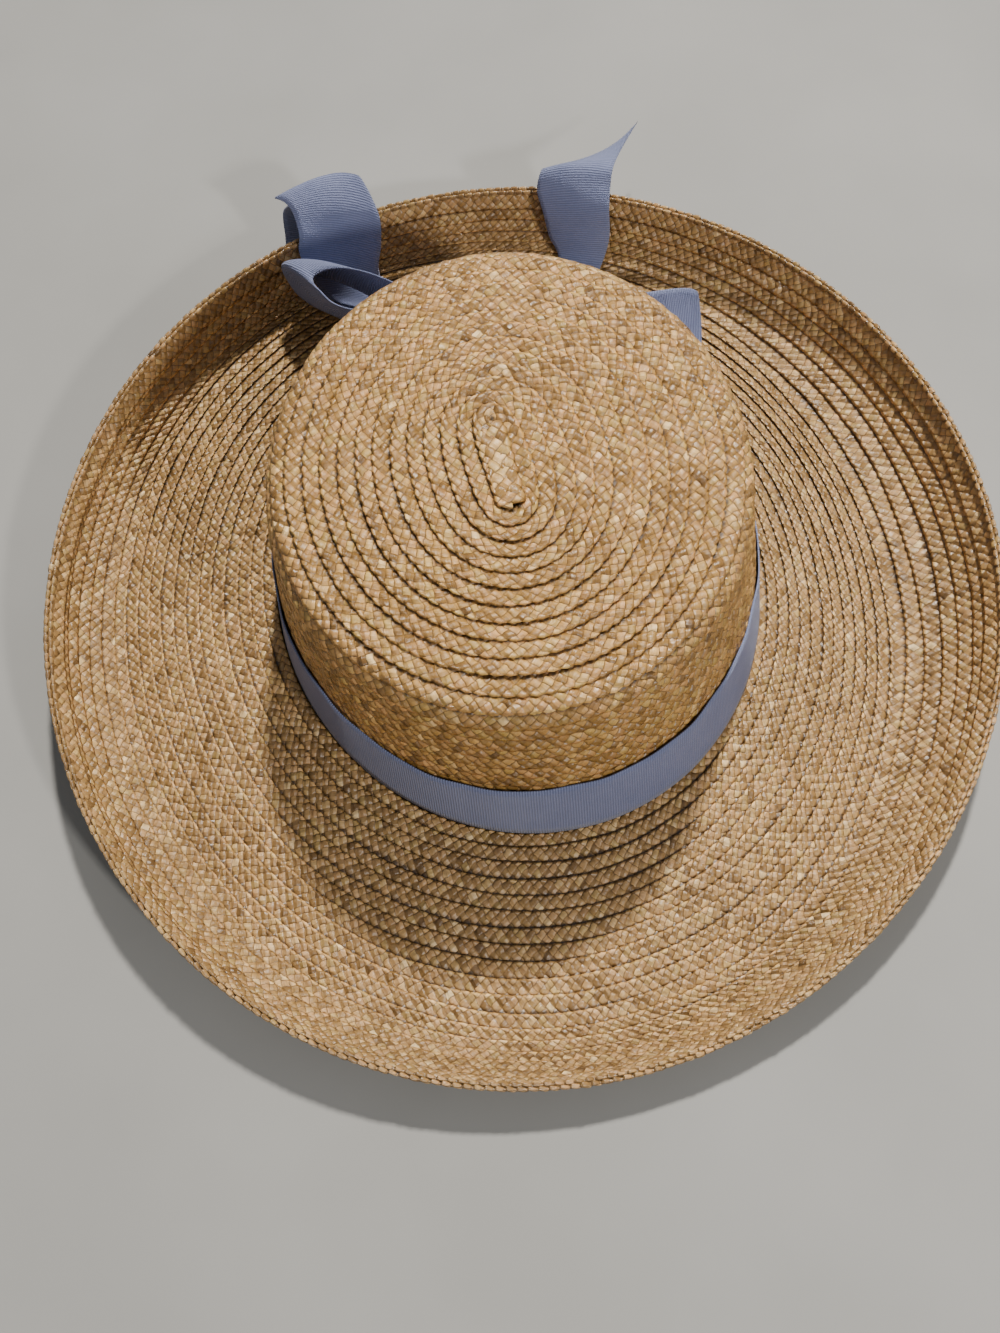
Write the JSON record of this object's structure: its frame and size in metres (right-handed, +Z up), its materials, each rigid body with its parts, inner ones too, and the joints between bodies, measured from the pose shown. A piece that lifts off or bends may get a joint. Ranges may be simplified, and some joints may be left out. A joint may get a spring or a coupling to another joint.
{
  "type": "braided straw hat with ribbon bow",
  "caption": "Wide sewn straw braid hat with a round flat-topped crown, an upturned brim, a ribbon band and a bow at the back.",
  "frame": {"origin": "on the surface that the hat rests on, under the middle of its overall size", "axes": "+Z up through the crown, +Y towards the bow at the back, +X to the right seen from the front"},
  "size_m": [0.3526, 0.391, 0.0885],
  "materials": {
    "crown_straw": "sewn straw braid, slightly glossy",
    "brim_straw": "sewn straw braid, slightly glossy",
    "ribbon": "matt grosgrain"
  },
  "bodies": {
    "root": {"crown": "crown_straw", "brim": "brim_straw", "hatband": "ribbon", "bow_knot": "ribbon", "bow_loop_left": "ribbon", "bow_loop_right": "ribbon", "bow_tail_left": "ribbon", "bow_tail_right": "ribbon"}
  },
  "joints": []
}
